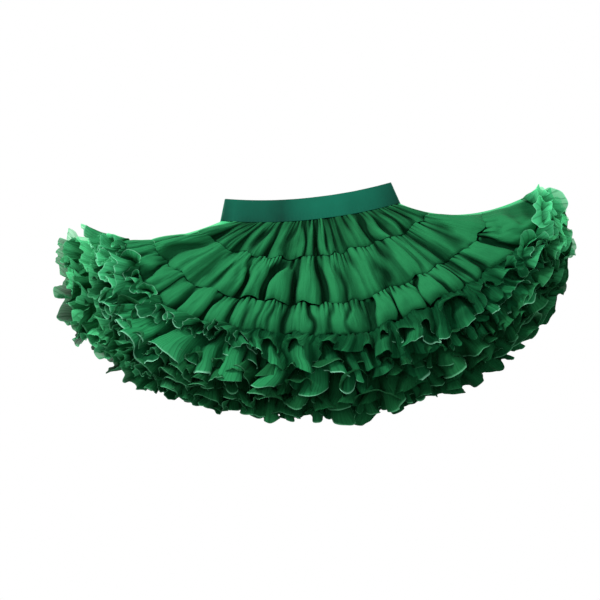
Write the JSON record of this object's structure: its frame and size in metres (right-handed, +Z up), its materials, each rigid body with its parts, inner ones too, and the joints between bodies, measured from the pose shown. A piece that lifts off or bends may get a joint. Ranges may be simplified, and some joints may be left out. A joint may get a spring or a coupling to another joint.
{
  "type": "tutu skirt",
  "caption": "Tutu skirt laid flat: a wide elastic waistband over a gathered, tiered overskirt and longer petticoats beneath, each edged with a full ruffle.",
  "frame": {"origin": "middle of the waistband's underside, on the surface where the skirt lies", "axes": "+X across the skirt, to the right as it is seen from its front with the waist at the top; +Y from the hem to the waist; +Z up, out of the skirt's front"},
  "size_m": [0.6595, 0.3263, 0.0672],
  "materials": {
    "elastic": "smooth woven elastic, satin",
    "chiffon": "soft matt chiffon and tulle"
  },
  "bodies": {
    "root": {"waistband": "elastic", "yoke_tier": "chiffon", "second_tier": "chiffon", "third_tier": "chiffon", "outer_frill": "chiffon", "middle_petticoat": "chiffon", "middle_frill": "chiffon", "inner_petticoat": "chiffon", "inner_frill": "chiffon"}
  },
  "joints": []
}
